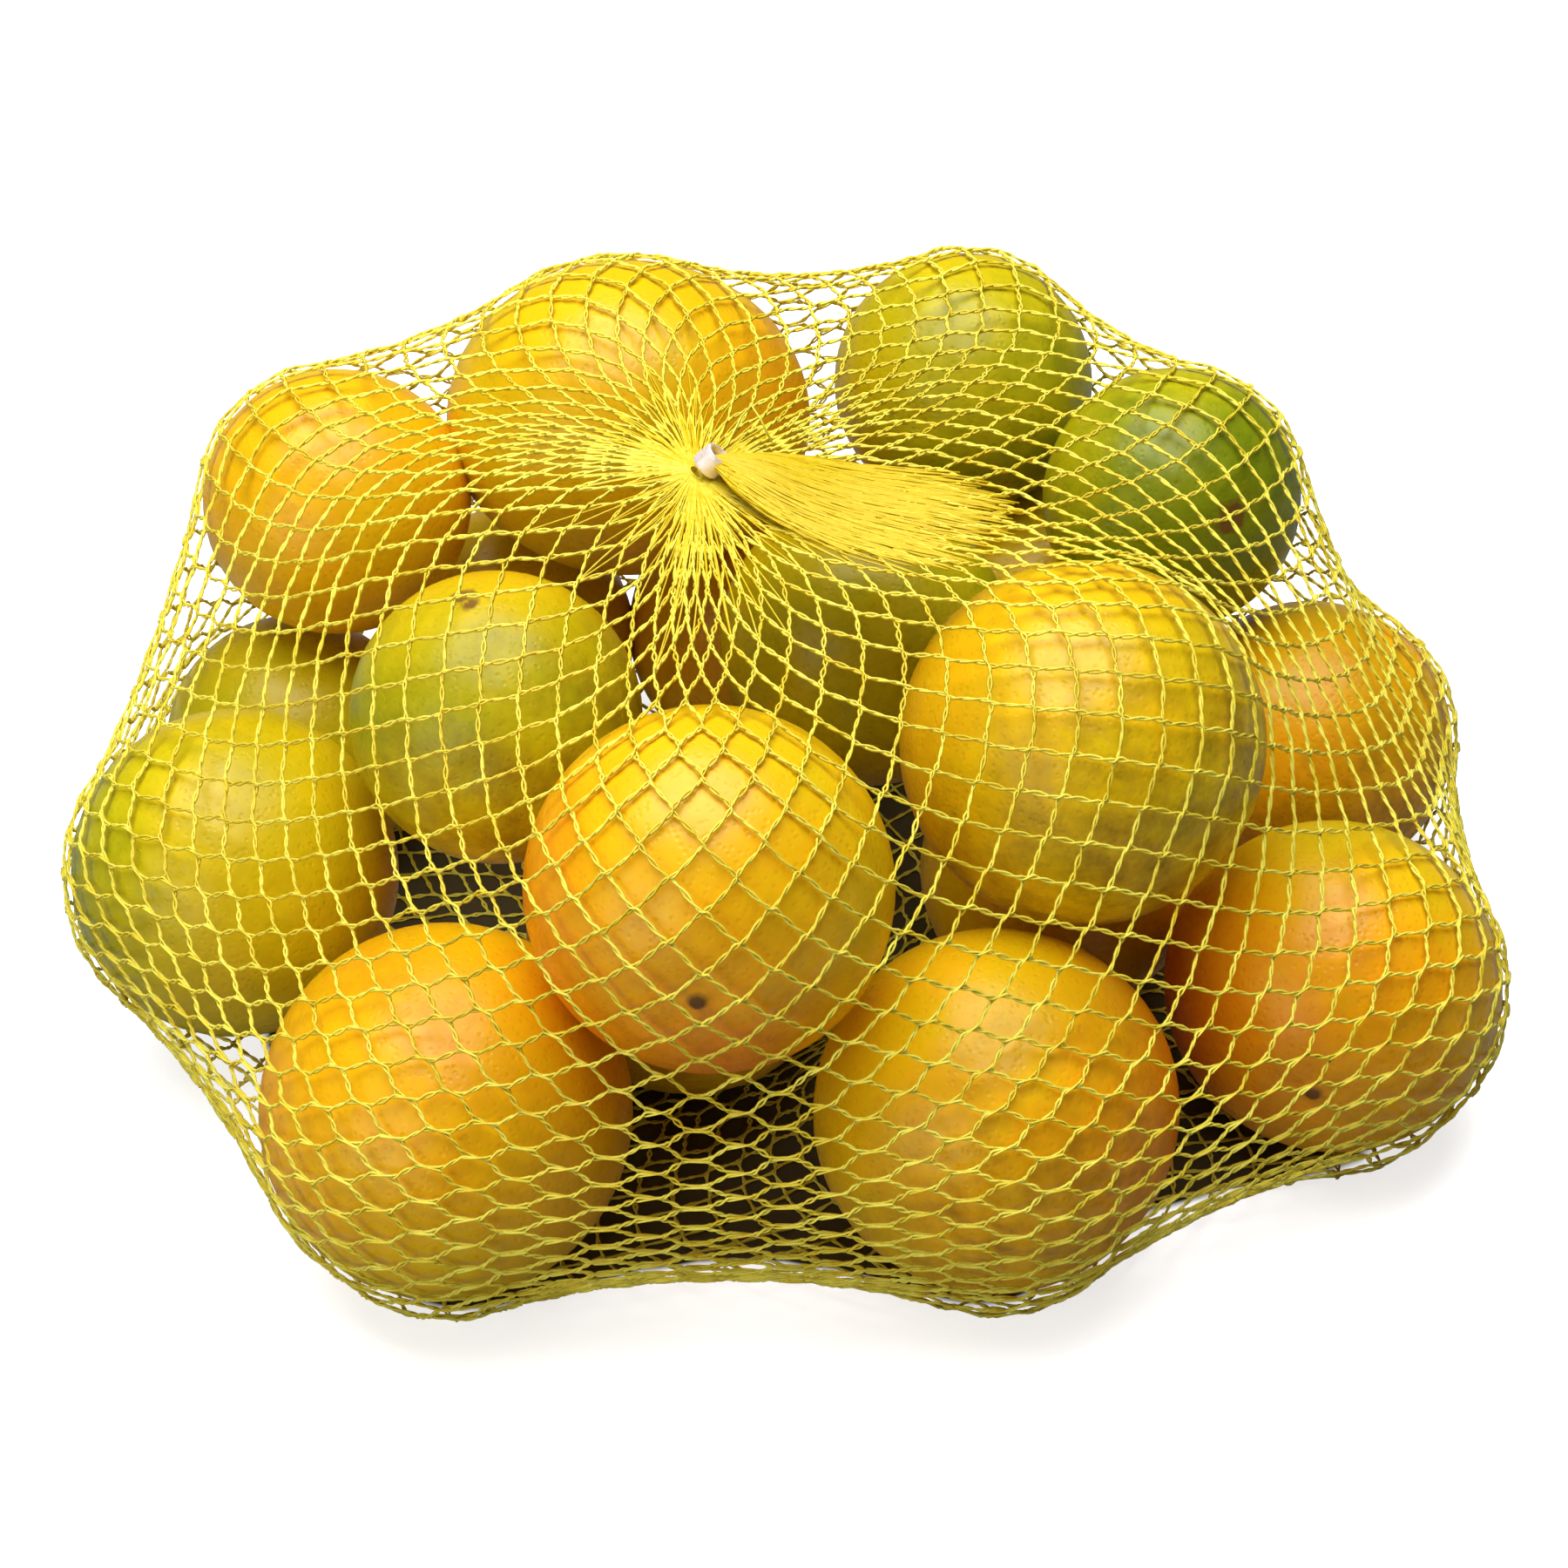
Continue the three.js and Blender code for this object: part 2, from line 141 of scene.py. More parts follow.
def peel_radius(fruit, fall, turn, draw):
    """Distance of the peel from the middle, by the angle from the stem and the turn round the core."""
    way = np.stack([np.sin(fall) * np.cos(turn), np.sin(fall) * np.sin(turn), np.cos(fall)], axis=-1)
    lumps = np.zeros(len(fall))
    for _ in range(LUMPS):
        ridge = unit(draw.normal(size=3)) * draw.uniform(*LUMP_WAVES)
        lumps += np.cos(way @ ridge + draw.uniform(0, 2 * math.pi))
    radius = fruit.radius * (1 - CORE_SHORTER * np.cos(fall) ** 2 - LUMP * (lumps.max() - lumps) / 2)
    from_stem = fall * fruit.radius
    from_tip = (math.pi - fall) * fruit.radius
    radius -= STEM_DIMPLE * np.exp(-(from_stem / STEM_DIMPLE_WIDTH) ** 2)
    grooves = np.cos(STEM_GROOVES * turn / 2) ** 2
    from_edge = from_stem / STEM_DIMPLE_WIDTH - 1
    radius -= STEM_GROOVE * grooves * np.exp(-(from_edge * STEM_GROOVE_FADE) ** 2)
    radius += STEM_BUTTON * (1 - smooth_step(*STEM_BUTTON_EDGE, from_stem / STEM_BUTTON_WIDTH))
    radius -= TIP_DIMPLE * np.exp(-(from_tip / TIP_DIMPLE_WIDTH) ** 2)
    return radius, way


def ripeness(fruit, way):
    """Each side has its own ripeness, and they run into each other round the fruit."""
    sides = np.stack([view_near, -view_right, view_right, view_up, -view_up])
    weights = np.clip(way @ sides.T, 0, None) ** 2 + SIDES_BLEND
    return weights @ np.array(fruit.ripe) / weights.sum(axis=1)


def mesh_points(mesh):
    points = np.empty(3 * len(mesh.vertices))
    mesh.vertices.foreach_get("co", points)
    return points.reshape(-1, 3)


def paint(mesh, name, values):
    """Keeps a number for each point of a mesh, for its material to read."""
    painted = mesh.attributes.new(name, "FLOAT", "POINT")
    painted.data.foreach_set("value", values.astype(np.float32).ravel())


def orange_mesh(fruit, draw):
    ball = bmesh.new()
    bmesh.ops.create_uvsphere(ball, u_segments=PEEL_AROUND, v_segments=PEEL_RINGS, radius=1.0)
    mesh = bpy.data.meshes.new("orange_" + fruit.name)
    ball.to_mesh(mesh)
    ball.free()
    points = mesh_points(mesh)
    fall = np.arccos(np.clip(points[:, 2], -1, 1))
    fall -= 0.25 * np.sin(2 * fall)              # closer rings at the stem and the tip
    turn = np.arctan2(points[:, 1], points[:, 0])
    radius, way = peel_radius(fruit, fall, turn, draw)
    stem = seen_at(*fruit.stem, far=not fruit.stem_shows)
    across = unit(np.cross(stem, draw.normal(size=3)))
    way = way @ np.stack([across, np.cross(stem, across), stem])
    points = way * radius[:, None]
    points += np.outer(points @ FLAT_AXIS * (fruit.flatness - 1), FLAT_AXIS)
    mesh.vertices.foreach_set("co", placed(points + fruit.middle).ravel())
    paint(mesh, "ripeness", ripeness(fruit, way))
    paint(mesh, "stem_end", 1 - smooth_step(*STEM_COLOUR_EDGE, fall * fruit.radius / STEM_BUTTON_WIDTH))
    scar = np.zeros(len(way))
    if fruit.scar:
        right, up, size = fruit.scar
        from_scar = np.arccos(np.clip(way @ seen_at(right, up), -1, 1))
        scar = 1 - smooth_step(SCAR_HEART * size, size, from_scar)
    paint(mesh, "scar", scar)
    # Brown on the low right side, away from the light: partly real russet mottling, partly painted shade.
    low_right = unit(view_right - 2 * view_up)
    paint(mesh, "russet_and_shade", fruit.russet_and_shade * smooth_step(*RUSSET_AND_SHADE_EDGE, way @ low_right))
    return mesh


def colour(red, green, blue):
    """A colour as it is read off a screen, 0 to 255, as the renderer's own light values."""
    shares = [value / 255 for value in (red, green, blue)]
    return (*[s / 12.92 if s <= 0.04045 else ((s + 0.055) / 1.055) ** 2.4 for s in shares], 1.0)


def new_material(name):
    material = bpy.data.materials.new(name)
    material.use_nodes = True
    return material, material.node_tree, material.node_tree.nodes["Principled BSDF"]


def add_node(tree, kind, inputs=None, **settings):
    """A shader node with its settings, and with each input joined to a socket or set to a value."""
    made = tree.nodes.new("ShaderNode" + kind)
    for name, value in settings.items():
        setattr(made, name, value)
    for socket, value in (inputs or {}).items():
        if isinstance(value, bpy.types.NodeSocket):
            tree.links.new(value, made.inputs[socket])
        else:
            made.inputs[socket].default_value = value
    return made


def reckon(tree, operation, *values):
    return add_node(tree, "Math", dict(enumerate(values)), operation=operation).outputs[0]


def mixed(tree, share, first, second):
    return add_node(tree, "Mix", {0: share, 6: first, 7: second}, data_type="RGBA").outputs[2]


def peel_material():
    """Waxy peel: green through yellow to orange in soft blotches, with pores, scars, brown mottling and painted
    shade.
    """
    material, tree, shader = new_material("peel")
    place = add_node(tree, "TexCoord").outputs["Object"]
    painted = add_node(tree, "Attribute", attribute_name="ripeness").outputs["Fac"]
    blotches = add_node(tree, "TexNoise", {"Vector": place, "Scale": 55.0, "Detail": 3.0}).outputs[0]
    mottle = add_node(tree, "TexNoise", {"Vector": place, "Scale": 420.0, "Detail": 2.0}).outputs[0]
    ripe = reckon(tree, "MULTIPLY_ADD", reckon(tree, "SUBTRACT", blotches, 0.5), 0.26, painted)
    ripe = reckon(tree, "MULTIPLY_ADD", reckon(tree, "SUBTRACT", mottle, 0.5), 0.12, ripe)
    ramp = add_node(tree, "ValToRGB", {"Fac": ripe})
    stops = [
        (0.0, colour(80, 106, 8)),
        (0.18, colour(134, 146, 10)),
        (0.35, colour(194, 182, 10)),
        (0.52, colour(230, 198, 10)),
        (0.7, colour(246, 186, 8)),
        (0.86, colour(248, 158, 8)),
        (1.0, colour(240, 126, 8)),
    ]
    ramp.color_ramp.elements.remove(ramp.color_ramp.elements[1])
    for position, tint in stops:
        stop = ramp.color_ramp.elements.new(position) if position else ramp.color_ramp.elements[0]
        stop.color = tint
    skin = ramp.outputs["Color"]

    pores = add_node(tree, "TexVoronoi", {"Vector": place, "Scale": 620.0}).outputs["Distance"]
    pore = add_node(tree, "MapRange", {0: pores, 1: 0.12, 2: 0.42, 3: 1.0, 4: 0.0}).outputs[0]
    skin = mixed(tree, reckon(tree, "MULTIPLY", pore, 0.07), skin, colour(150, 96, 10))
    specks = add_node(tree, "TexNoise", {"Vector": place, "Scale": 240.0, "Detail": 4.0}).outputs[0]
    fleck = add_node(tree, "MapRange", {0: specks, 1: 0.71, 2: 0.8, 3: 0.0, 4: 0.35}).outputs[0]
    skin = mixed(tree, fleck, skin, colour(120, 76, 16))
    patchy = {"Vector": place, "Scale": 95.0, "Detail": 6.0, "Roughness": 0.65}
    patches = add_node(tree, "TexNoise", patchy).outputs[0]
    brown = add_node(tree, "MapRange", {0: patches, 1: 0.4, 2: 0.68, 3: 0.0, 4: 0.8}).outputs[0]
    # Brown patches, strongest on the low right side: real russet mottling that also serves as painted shade
    # there.
    painted_russet_and_shade = add_node(tree, "Attribute", attribute_name="russet_and_shade").outputs["Fac"]
    skin = mixed(tree, reckon(tree, "MULTIPLY", brown, painted_russet_and_shade), skin, colour(130, 92, 20))
    scar = add_node(tree, "Attribute", attribute_name="scar").outputs["Fac"]
    scarred = reckon(tree, "MULTIPLY", scar, reckon(tree, "MULTIPLY_ADD", specks, 2.6, -0.75))
    scarred = add_node(tree, "MapRange", {0: scarred, 1: 0.25, 2: 0.6, 3: 0.0, 4: 0.85}).outputs[0]
    skin = mixed(tree, scarred, skin, colour(112, 62, 20))
    stem_end = add_node(tree, "Attribute", attribute_name="stem_end").outputs["Fac"]
    skin = mixed(tree, stem_end, skin, colour(112, 74, 30))

    rough = add_node(tree, "MapRange", {0: mottle, 1: 0.3, 2: 0.7, 3: 0.26, 4: 0.38}).outputs[0]
    rough = reckon(tree, "MAXIMUM", rough, reckon(tree, "MULTIPLY", scarred, 0.8))
    height = reckon(tree, "MULTIPLY", pore, -1.0)
    bump = add_node(tree, "Bump", {"Height": height, "Strength": 0.25, "Distance": 0.0003})
    tree.links.new(skin, shader.inputs["Base Color"])
    tree.links.new(rough, shader.inputs["Roughness"])
    tree.links.new(bump.outputs[0], shader.inputs["Normal"])
    shader.inputs["Specular IOR Level"].default_value = 0.32
    return material


def add_piece(name, mesh, material, slot, *stands_for):
    """Puts a finished mesh in the scene, to ride with the bag in place of the solids it stands for."""
    mesh.shade_smooth()
    mesh.materials.append(material)
    piece = bpy.data.objects.new(name, mesh)
    bpy.context.scene.collection.objects.link(piece)
    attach(piece, "root")
    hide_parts(*stands_for)


peel = peel_material()
for seed, fruit in enumerate(ORANGES):
    skin_of_fruit = orange_mesh(fruit, np.random.default_rng(seed))
    add_piece(skin_of_fruit.name, skin_of_fruit, peel, "peel", "net_bag")


# The net: a knitted tube of yellow polyethylene yarn with diamond cells, drawn tight over the fruit.
# Each strand is two yarns with eyelets between them. Strands run slantwise round the bag both ways,
# from the gather under the clip to the one underneath, and are knitted together for a way at each knot.

CELLS_ROUND, ROWS = 52, 64
STRAND, STAND_OFF = 9.3, 0.9                  # mm
NECK_RADIUS, NECK_BELOW = 1.5, 5.0
CLIP_TILT = math.radians(45)
UNDER_GATHER = np.array([15.0, -10.0, 1.0])
START_HALF = np.array([170.0, 145.0, 90.0])   # the loose egg of net that the settling starts from
START_MIDDLE = np.array([0.0, 5.0, 70.0])
ROUNDS, PULL, PUSH, STEP, KEEP = 1600, 0.03, 0.3, 0.18, 0.92
LIMP_TOP, LIMP_UNDER = 2, 16                  # rows over which the strands are limp, near the gathers
LIES, LIFTED = 6.0, 18.0                      # the underside is pressed flat below LIES

YARN_RADII = (0.34, 0.3)
EYELET_CLOSED, EYELET_OPEN = 0.2, 0.46        # mm from the strand's middle line to each yarn
EYELETS = 3                                   # in the length of a strand
EYELET_SHARES = (0.3, 1.0)                    # how far each of them is open
JOINT_LEAST, JOINT_MOST = 0.5, 2.3            # mm that strands run together on each side of a knot
JOINT_SHARE = 0.3                             # of a strand's length, at most
HUG_LEAST, HUG_MOST = 0.4, 0.7                # how nearly they run the same way there
SHARP_CROSSING = (0.1, 0.8)                   # cosine of their angle, from the least to the most of both
BOW = 0.45                                    # how round the strands leave their joints
STRAIGHT_ROWS = (4, 14)                       # near the clip they run straight from knot to knot
KNOT_CROSSING = 0.25                          # mm over or under the other strand
STEPS_SHOWN, STEPS_UNDER = 10, 4
UNDER_ROW = 46                                # from here on the net is under the bag
CROWDED = 4.2                                 # knots closer than this have their yarns pressed together
CROWDED_LEAST = 0.2                           # but to no less than this share of their distance
NET_TONES = (0.3, 1.0)                        # 0 is golden, 1 lemon

clip_axis = np.array([math.sin(CLIP_TILT), 0.0, math.cos(CLIP_TILT)])
clip_across = np.array([math.cos(CLIP_TILT), 0.0, -math.sin(CLIP_TILT)])
neck_foot = CLIP_MIDDLE - NECK_BELOW * clip_axis
row_numbers = np.arange(ROWS + 1)[:, None]
columns = np.arange(CELLS_ROUND)
odd_row = row_numbers % 2
below_left = (columns - 1 + odd_row) % CELLS_ROUND     # the two knots of the next row that a knot ties to
below_right = (columns + odd_row) % CELLS_ROUND


def push_out(points, gap):
    """Points in an orange move straight out to that gap above its peel, and none goes under the table."""
    for fruit in ORANGES:
        offset = points - fruit.middle
        offset = offset + (offset @ FLAT_AXIS * (1 / fruit.flatness - 1))[..., None] * FLAT_AXIS
        depth = np.linalg.norm(offset, axis=-1, keepdims=True)
        out = offset * (fruit.radius + gap) / np.maximum(depth, 1e-6)
        out = out + (out @ FLAT_AXIS * (fruit.flatness - 1))[..., None] * FLAT_AXIS
        points = np.where(depth < fruit.radius + gap, fruit.middle + out, points)
    points[..., 2] = np.maximum(points[..., 2], 0)
    return points


def loose_net():
    turn = 2 * math.pi * (columns + 0.5 * odd_row) / CELLS_ROUND
    fall = math.pi * row_numbers / ROWS + 0 * turn
    egg = np.stack([np.sin(fall) * np.cos(turn), np.sin(fall) * np.sin(turn), np.cos(fall)], axis=-1)
    knots = START_MIDDLE + START_HALF * egg
    for row, middle, across in ((0, neck_foot, clip_across), (ROWS, UNDER_GATHER, view_right)):
        ring = np.outer(np.cos(turn[row]), across)
        ring[:, 1] += np.sin(turn[row])
        knots[row] = middle + NECK_RADIUS * ring
    return knots


def strand_forces(knots):
    """Each strand pulls its two knots together, hard when it is longer than a taut one."""
    forces = np.zeros_like(knots)
    upper = row_numbers[:-1]
    push = PUSH * np.minimum(1, np.minimum(upper / LIMP_TOP, (ROWS - 1 - upper) / LIMP_UNDER))[..., None]
    for below in (below_left[:-1], below_right[:-1]):
        reach = knots[upper + 1, below] - knots[:-1]
        length = np.linalg.norm(reach, axis=-1, keepdims=True)
        stretch = length - STRAND
        pull = reach * (PULL + np.where(stretch > 0, stretch, push * stretch) / length)
        forces[:-1] += pull
        forces[upper + 1, below] -= pull
    return forces


def settled_net():
    before = loose_net()
    knots = before.copy()
    for _ in range(ROUNDS):
        after = knots + KEEP * (knots - before) + STEP * strand_forces(knots)
        after[1:-1] = push_out(after[1:-1], STAND_OFF)
        after[0], after[-1] = knots[0], knots[-1]
        before, knots = knots, after
    return knots


def pressed_underside(knots):
    knots = knots.copy()
    height = knots[ROWS // 2:, :, 2]
    low = np.maximum(0, height - LIES) * LIFTED / (LIFTED - LIES)
    knots[ROWS // 2:, :, 2] = np.where(height < LIFTED, low, height)
    return knots


def strand_columns(leans_right):
    """Column of each strand's knot in each row: a strand moves half a cell sideways with each row."""
    moved = row_numbers // 2 if leans_right else -((row_numbers + 1) // 2)
    return (columns + moved) % CELLS_ROUND


def knot_joints(knots):
    """At each knot, how both strands run through it, which way is out, and how far they run together:
    the further the sharper they cross, so that the openings are lens shaped."""
    runs = []
    for leans_right in (True, False):
        run = np.empty_like(knots)
        way = strand_columns(leans_right)
        run[row_numbers, way] = np.gradient(knots[row_numbers, way], axis=0)
        runs.append(unit(run))
    right, left = runs
    out = unit(np.cross(left, right))
    cosine = np.sum(right * left, axis=-1, keepdims=True)
    same_way = np.where(cosine < 0, -1.0, 1.0)
    middle = unit(right + same_way * left)
    sharp = smooth_step(*SHARP_CROSSING, np.abs(cosine))
    sharp = sharp * smooth_step(*STRAIGHT_ROWS, row_numbers)[..., None]
    hug = HUG_LEAST + (HUG_MOST - HUG_LEAST) * sharp
    right = unit((1 - hug) * right + hug * middle)
    left = unit((1 - hug) * left + hug * same_way * middle)
    return right, left, out, JOINT_LEAST + (JOINT_MOST - JOINT_LEAST) * sharp


def curve_between(start, start_pull, end, end_pull, share):
    """The point at that share of a smooth curve, which leaves and arrives along its two pulls."""
    t, u = share, 1 - share
    line = (1 + 2 * t) * u * u * start + t * t * (3 - 2 * t) * end
    return line + t * u * u * start_pull - t * t * u * end_pull


def strand_lines(knots, runs, out, joints, leans_right):
    """Middle lines of all strands that lean one way, straight in their joints and bowed between them,
    with the outward direction and the place between two knots for each point."""
    way = strand_columns(leans_right)
    through, run, outward, joint = (of[row_numbers, way] for of in (knots, runs, out, joints))
    lines, outs, rows, shares = [], [], [], []
    for row in range(ROWS):
        steps = STEPS_SHOWN if row < UNDER_ROW else STEPS_UNDER
        length = np.linalg.norm(through[row + 1] - through[row], axis=-1, keepdims=True)
        start = through[row] + np.minimum(joint[row], JOINT_SHARE * length) * run[row]
        end = through[row + 1] - np.minimum(joint[row + 1], JOINT_SHARE * length) * run[row + 1]
        bow = BOW * np.linalg.norm(end - start, axis=-1, keepdims=True)
        for step in range(steps):
            line = through[row]
            if step:
                along = (step - 1) / (steps - 2)
                line = curve_between(start, bow * run[row], end, bow * run[row + 1], along)
            lines.append(line)
            outs.append((1 - step / steps) * outward[row] + step / steps * outward[row + 1])
            rows.append(row)
            shares.append(step / steps)
    lines.append(through[ROWS])
    outs.append(outward[ROWS])
    rows.append(ROWS)
    shares.append(0.0)
    return np.array(lines), unit(np.array(outs)), np.array(rows), np.array(shares)


def tube_mesh(name, lines, sides, outs, radius):
    """Closed three-sided tubes round lines. The arrays go by point, then by tube."""
    points, tubes, _ = lines.shape
    angles = np.radians([90, 210, 330])
    corners = [lines + radius * (math.cos(a) * sides + math.sin(a) * outs) for a in angles]
    corners = np.stack(corners, axis=2).transpose(1, 0, 2, 3)
    numbers = np.arange(tubes * points * 3).reshape(tubes, points, 3)
    following = np.roll(numbers, -1, axis=2)
    quads = np.stack([numbers[:, :-1], following[:, :-1], following[:, 1:], numbers[:, 1:]], axis=-1)
    caps = np.concatenate([numbers[:, 0, ::-1], numbers[:, -1]])
    mesh = bpy.data.meshes.new(name)
    mesh.from_pydata(placed(corners.reshape(-1, 3)), [], quads.reshape(-1, 4).tolist() + caps.tolist())
    return mesh


def net_yarn(name, lines, outs, apart, lift, tones, radius):
    """One yarn of every strand in a set, at its distance beside and above the strand's middle line."""
    runs = unit(np.gradient(lines, axis=0))
    sides = unit(np.cross(outs, runs))
    yarn = push_out(lines + apart[..., None] * sides + lift[:, None, None] * outs, radius)
    yarn[..., 2] = np.maximum(yarn[..., 2], radius)
    mesh = tube_mesh(name, yarn, sides, outs, radius)
    paint(mesh, "tone", np.repeat(tones.T[:, :, None], 3, axis=2))
    return mesh


def net_material():
    """Bright yellow yarn, satin, golden to lemon from strand to strand."""
    material, tree, shader = new_material("yellow_net")
    place = add_node(tree, "TexCoord").outputs["Object"]
    tone = add_node(tree, "Attribute", attribute_name="tone").outputs["Fac"]
    fibres = add_node(tree, "TexNoise", {"Vector": place, "Scale": 700.0, "Detail": 2.0}).outputs[0]
    tone = reckon(tree, "MULTIPLY_ADD", reckon(tree, "SUBTRACT", fibres, 0.5), 0.9, tone)
    yarn = mixed(tree, tone, colour(220, 190, 14), colour(252, 242, 96))
    tree.links.new(yarn, shader.inputs["Base Color"])
    shader.inputs["Specular IOR Level"].default_value = 0.25
    rough = add_node(tree, "MapRange", {0: fibres, 1: 0.3, 2: 0.7, 3: 0.32, 4: 0.5}).outputs[0]
    tree.links.new(rough, shader.inputs["Roughness"])
    return material


net_plastic = net_material()
knots = pressed_underside(settled_net())
right_runs, left_runs, outward, joints = knot_joints(knots)
between_knots = np.linalg.norm(np.roll(knots, -1, axis=1) - knots, axis=-1).mean(axis=1)
crowding = np.clip(between_knots / CROWDED, CROWDED_LEAST, 1)
net_draw = np.random.default_rng(7)
for leans_right, runs in ((True, right_runs), (False, left_runs)):
    lines, outs, rows, shares = strand_lines(knots, runs, outward, joints, leans_right)
    opened = net_draw.uniform(*EYELET_SHARES, (ROWS + 1, CELLS_ROUND, EYELETS))
    opened = opened[rows, :, (EYELETS * shares).astype(int)]
    twist = EYELETS * math.pi * (rows + shares)
    apart = EYELET_OPEN * opened * np.sin(twist)[:, None] * crowding[rows][:, None]
    lift = EYELET_CLOSED * np.cos(twist)
    over = np.where((rows % 2 == 0) == leans_right, 1.0, -1.0) * np.cos(math.pi * shares)
    lines = lines + KNOT_CROSSING * over[:, None, None] * outs
    tones = net_draw.uniform(*NET_TONES, (ROWS + 1, CELLS_ROUND))[rows]
    lean = "right" if leans_right else "left"
    for yarn, side, radius in (("chain", 1, YARN_RADII[0]), ("tie", -1, YARN_RADII[1])):
        name = f"net_{lean}_{yarn}"
        mesh = net_yarn(name, lines, outs, side * apart, side * lift, tones, radius)
        add_piece(name, mesh, net_plastic, "net", "net_bag")


# The gather: yarns of the net that are drawn together in a mat round the clip. They run out over the
# net from its neck, furthest to the front, cross each other a little, and each ends at a knot.

GATHER_YARNS = 360
GATHER_YARN = 0.25                            # mm
GATHER_ROWS = (1.0, 2.9)                      # rows of the net that the mat covers on all sides
GATHER_FRONT, GATHER_BACK = 6.0, 3.0          # more rows to the front, and to the back and left
GATHER_FEW_LONG = 1.5                         # above 1, short yarns are more than long ones
GATHER_CROSSING = 0.8                         # columns that a yarn moves sideways on its way
GATHER_LIFT = 0.45                            # mm above the net, at the neck
GATHER_TONES = (-0.2, 0.5)
GATHER_STEPS = 24
AIM_ROW = 2.0                                 # of the net, that tells which way a yarn runs out
ROW_END = 1e-6                                # a yarn stops this much short of its last row

back_and_left = np.array([-0.6, 0.8, 0.0])


def on_net(of, row, column):
    """What a list by knots holds between its knots, where the row and the column are fractions."""
    value = 0
    upper = np.floor(row).astype(int)
    for at_row, row_share in ((upper, upper + 1 - row), (upper + 1, row - upper)):
        place = column - 0.5 * (at_row % 2)
        left = np.floor(place).astype(int)
        for at_column, share in ((left, left + 1 - place), (left + 1, place - left)):
            value = value + (row_share * share)[..., None] * of[at_row, at_column % CELLS_ROUND]
    return value


def gather_mesh(name):
    column = net_draw.uniform(0, CELLS_ROUND, GATHER_YARNS)
    way_out = unit(on_net(knots, np.full(GATHER_YARNS, AIM_ROW), column) - CLIP_MIDDLE)
    to_front = np.clip(-way_out[:, 1], 0, 1)
    to_back = np.clip(way_out @ back_and_left, 0, 1)
    longest = GATHER_FRONT * to_front + GATHER_BACK * to_back
    last_row = net_draw.uniform(*GATHER_ROWS, GATHER_YARNS)
    last_row = np.round(last_row + longest * net_draw.random(GATHER_YARNS) ** GATHER_FEW_LONG)
    column = np.round(column) + 0.5 * (last_row % 2)
    share = np.linspace(0, 1, GATHER_STEPS)
    row = np.minimum(share[:, None] * last_row, last_row - ROW_END)
    column = column + GATHER_CROSSING * net_draw.uniform(-1, 1, GATHER_YARNS) * (1 - share[:, None])
    outs = unit(on_net(outward, row, column))
    tones = np.broadcast_to(net_draw.uniform(*GATHER_TONES, GATHER_YARNS), row.shape)
    lift = GATHER_LIFT * (1 - share)
    return net_yarn(name, on_net(knots, row, column), outs, 0 * row, lift, tones, GATHER_YARN)


add_piece("gather", gather_mesh("gather"), net_plastic, "net", "net_bag")


# The clip: a short band of soft aluminium, closed round the gathered neck of the net and crimped
# to an oval, its two edges rolled and its ends meeting at a seam on the far side.

CLIP_HEIGHT, CLIP_INSIDE, CLIP_OUTSIDE = 5.0, 2.1, 3.1
CLIP_SQUEEZE = 0.9
CLIP_AROUND, CLIP_PROFILE = 72, 24
CLIP_WAIST = 0.25         # mm that the crimp sinks into the band's middle
CLIP_WAIST_REACH = 0.3    # of its height
CLIP_DENTS = 6
CLIP_DENT = 0.4           # share of the waist that comes and goes with the dents
CLIP_SEAM, CLIP_SEAM_TURN = 0.35, 0.09


def clip_mesh(name, middle, axis, across):
    """The band's section is a bar with round ends, thinner at its waist, carried round the neck."""
    wall = (CLIP_OUTSIDE - CLIP_INSIDE) / 2
    straight = CLIP_HEIGHT / 2 - wall
    turn = 2 * math.pi * np.arange(CLIP_PROFILE) / CLIP_PROFILE
    rise = wall * np.sin(turn) + straight * np.tanh(3 * np.sin(turn))
    out = wall * np.cos(turn)
    round_turn = 2 * math.pi * np.arange(CLIP_AROUND)[:, None] / CLIP_AROUND
    waist = CLIP_WAIST * np.exp(-(rise / (CLIP_WAIST_REACH * CLIP_HEIGHT)) ** 2)
    dents = 1 - CLIP_DENT + CLIP_DENT * np.cos(CLIP_DENTS * round_turn)
    seam = CLIP_SEAM * np.exp(-((round_turn - math.pi) / CLIP_SEAM_TURN) ** 2)
    outer = (out > 0) * (waist * dents + seam)
    from_axis = CLIP_INSIDE + wall + out - outer
    depth = np.cross(axis, across)
    points = (from_axis / CLIP_SQUEEZE * np.cos(round_turn))[..., None] * across
    points = points + (from_axis * CLIP_SQUEEZE * np.sin(round_turn))[..., None] * depth
    points = points + middle + rise[:, None] * axis
    numbers = np.arange(CLIP_AROUND * CLIP_PROFILE).reshape(CLIP_AROUND, CLIP_PROFILE)
    ahead, above = np.roll(numbers, -1, axis=0), np.roll(numbers, -1, axis=1)
    quads = np.stack([numbers, ahead, np.roll(ahead, -1, axis=1), above], axis=-1)
    mesh = bpy.data.meshes.new(name)
    mesh.from_pydata(placed(points.reshape(-1, 3)), [], quads.reshape(-1, 4).tolist())
    return mesh


def clip_material():
    """Bright soft aluminium, a little scratched by the crimping tool."""
    material, tree, shader = new_material("clip_metal")
    place = add_node(tree, "TexCoord").outputs["Object"]
    scratches = add_node(tree, "TexNoise", {"Vector": place, "Scale": 1500.0, "Detail": 5.0}).outputs[0]
    metal = mixed(tree, scratches, colour(248, 226, 220), colour(255, 246, 242))
    tree.links.new(metal, shader.inputs["Base Color"])
    rough = add_node(tree, "MapRange", {0: scratches, 1: 0.3, 2: 0.7, 3: 0.26, 4: 0.46}).outputs[0]
    tree.links.new(rough, shader.inputs["Roughness"])
    bump = add_node(tree, "Bump", {"Height": scratches, "Strength": 0.3, "Distance": 0.0002})
    tree.links.new(bump.outputs[0], shader.inputs["Normal"])
    shader.inputs["Metallic"].default_value = 0.35
    return material


